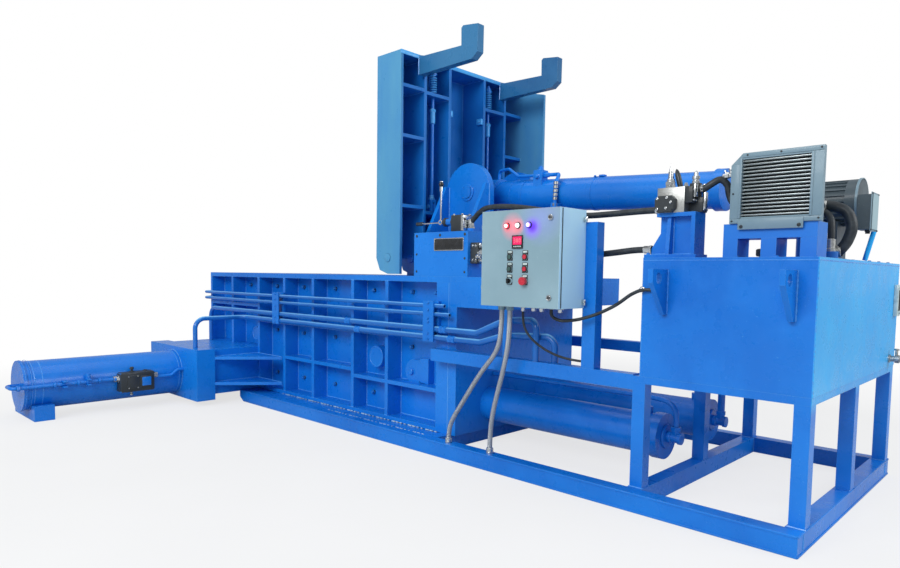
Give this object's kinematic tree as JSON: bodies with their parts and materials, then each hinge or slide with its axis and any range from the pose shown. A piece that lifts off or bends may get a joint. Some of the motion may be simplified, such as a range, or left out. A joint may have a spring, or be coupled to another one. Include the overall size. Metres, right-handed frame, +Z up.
{
  "type": "recycling baler",
  "caption": "Hydraulic metal press with a hinged lid over its box, a main ram and a side ram, an oil tank with its power pack and a control cabinet.",
  "frame": {"origin": "middle of the pump-end sill's underside, on the floor", "axes": "+X along the machine towards the pump end, +Y across to the discharge side, +Z up"},
  "size_m": [5.84, 3.526, 2.889],
  "materials": {
    "alu_fins": "satin",
    "black_plastic": "matte",
    "black_rubber": "matte",
    "blue_paint": "satin",
    "blue_worn": "worn satin",
    "braid_steel": "braided",
    "button_green": "gloss",
    "button_red": "gloss",
    "cabinet_paint": "satin",
    "cooler_paint": "satin",
    "gauge_plastic": "gloss",
    "lamp_lens": "gloss",
    "motor_paint": "satin",
    "raw_steel": "satin",
    "rod_chrome": "polished",
    "valve_black": "satin",
    "valve_steel": "machined"
  },
  "bodies": {
    "root": {"skid_frame": "blue_paint", "stand_frame": "blue_paint", "tank_shell": "blue_paint", "tank_cover": "blue_paint", "tank_fittings": "gauge_plastic", "front_wall": "blue_paint", "rear_wall": "blue_paint", "box_floor": "blue_paint", "box_end_wall": "blue_paint", "chamber_cover": "blue_paint", "ram_deck": "blue_paint", "wear_liners": "raw_steel", "side_tunnel": "blue_paint", "side_cylinder": "blue_paint", "cylinder_saddle": "blue_paint", "main_cylinders": "blue_paint", "gate_frame": "blue_paint", "lid_hinge_blocks": "blue_paint", "pedestal_front": "blue_paint", "pedestal_rear": "blue_paint", "valve_housing": "blue_paint", "upper_pipes": "blue_paint", "lower_pipes": "blue_paint", "pipe_clamps": "blue_paint", "cabinet": "cabinet_paint", "cabinet_posts": "blue_paint", "manifold_stand": "blue_paint", "manifold_block": "valve_steel", "control_valves": "valve_black", "oil_cooler": "alu_fins", "cooler_frame": "cooler_paint", "pump_motor": "motor_paint", "hydraulic_pump": "blue_worn", "hydraulic_hoses": "black_rubber", "conduit_left": "braid_steel", "conduit_right": "braid_steel", "control_cable": "black_rubber"},
    "lid": {"lid_panel": "blue_worn", "lid_horns": "blue_paint", "lid_springs": "raw_steel", "spring_rods": "blue_paint"},
    "lid_cylinder": {"lid_cylinder": "blue_paint"},
    "lid_rod": {"lid_rod": "rod_chrome"},
    "main_ram": {"main_ram": "raw_steel", "main_ram_rods": "rod_chrome"},
    "side_ram": {"side_ram": "raw_steel"},
    "gate": {"discharge_gate": "blue_worn"},
    "cabinet_door": {"cabinet_door": "cabinet_paint", "door_instruments": "lamp_lens"},
    "lock_lower": {"door_lock_lower": "rod_chrome"},
    "lock_upper": {"door_lock_upper": "rod_chrome"},
    "button_1": {"push_button_1": "button_green"},
    "button_2": {"push_button_2": "button_green"},
    "button_3": {"push_button_3": "button_red"},
    "button_4": {"push_button_4": "button_red"},
    "selector": {"selector_knob": "black_plastic"},
    "stop_button": {"stop_button": "button_red"},
    "lever_upright": {"valve_lever_upright": "rod_chrome"},
    "lever_flat": {"valve_lever_flat": "rod_chrome"},
    "fan": {"cooling_fan": "black_plastic"}
  },
  "joints": [
    {"name": "lid_hinge", "type": "hinge", "parent": "root", "child": "lid", "pos_m": [-2.865, 0, 1.308], "axis": [0, -1, 0], "range_deg": [0, 90]},
    {"name": "lid_cylinder_tilt", "type": "hinge", "parent": "root", "child": "lid_cylinder", "pos_m": [-2.431, 0, 1.79], "axis": [0, -1, 0], "range_deg": [0, 19.41]},
    {"name": "lid_rod_slide", "type": "slide", "parent": "lid_cylinder", "child": "lid_rod", "axis": [-0.9988, 0, 0.048], "range_m": [0, 0.7387]},
    {"name": "main_ram_slide", "type": "slide", "parent": "root", "child": "main_ram", "axis": [-1, 0, 0], "range_m": [0, 1.26]},
    {"name": "side_ram_slide", "type": "slide", "parent": "root", "child": "side_ram", "axis": [0, 1, 0], "range_m": [0, 1.02]},
    {"name": "gate_slide", "type": "slide", "parent": "root", "child": "gate", "axis": [0, 0, 1], "range_m": [0, 0.29]},
    {"name": "cabinet_door_hinge", "type": "hinge", "parent": "root", "child": "cabinet_door", "pos_m": [-1.652, -1.008, 1.286], "axis": [0, 0, -1], "range_deg": [0, 110]},
    {"name": "lock_lower_turn", "type": "hinge", "parent": "cabinet_door", "child": "lock_lower", "pos_m": [-1.17, -1.03, 1.078], "axis": [0, 1, 0], "range_deg": [0, 90]},
    {"name": "lock_upper_turn", "type": "hinge", "parent": "cabinet_door", "child": "lock_upper", "pos_m": [-1.17, -1.03, 1.5], "axis": [0, 1, 0], "range_deg": [0, 90]},
    {"name": "button_1_press", "type": "slide", "parent": "cabinet_door", "child": "button_1", "axis": [0, 1, 0], "range_m": [0, 0.003], "stiffness_N_per_m": 600, "springref_m": -0.002},
    {"name": "button_2_press", "type": "slide", "parent": "cabinet_door", "child": "button_2", "axis": [0, 1, 0], "range_m": [0, 0.003], "stiffness_N_per_m": 600, "springref_m": -0.002},
    {"name": "button_3_press", "type": "slide", "parent": "cabinet_door", "child": "button_3", "axis": [0, 1, 0], "range_m": [0, 0.003], "stiffness_N_per_m": 600, "springref_m": -0.002},
    {"name": "button_4_press", "type": "slide", "parent": "cabinet_door", "child": "button_4", "axis": [0, 1, 0], "range_m": [0, 0.003], "stiffness_N_per_m": 600, "springref_m": -0.002},
    {"name": "selector_turn", "type": "hinge", "parent": "cabinet_door", "child": "selector", "pos_m": [-1.438, -1.03, 1.163], "axis": [0, 1, 0], "range_deg": [-45, 45]},
    {"name": "stop_press", "type": "slide", "parent": "cabinet_door", "child": "stop_button", "axis": [0, 1, 0], "range_m": [0, 0.005], "stiffness_N_per_m": 600, "springref_m": -0.002},
    {"name": "lever_upright_tilt", "type": "hinge", "parent": "root", "child": "lever_upright", "pos_m": [-2.37, -0.6378, 1.55], "axis": [0, 1, 0], "range_deg": [-20, 20]},
    {"name": "lever_flat_tilt", "type": "hinge", "parent": "root", "child": "lever_flat", "pos_m": [-2.37, -0.6022, 1.55], "axis": [0, 1, 0], "range_deg": [-10, 20]},
    {"name": "fan_spin", "type": "hinge", "parent": "root", "child": "fan", "pos_m": [-0.202, -0.52, 1.624], "axis": [0, 1, 0], "continuous": true}
  ],
  "couplings": [
    {"joint": "lid_cylinder_tilt", "follows": "lid_hinge", "ratio": 0.21541},
    {"joint": "lid_rod_slide", "follows": "lid_hinge", "m_per_rad": 0.46998}
  ]
}
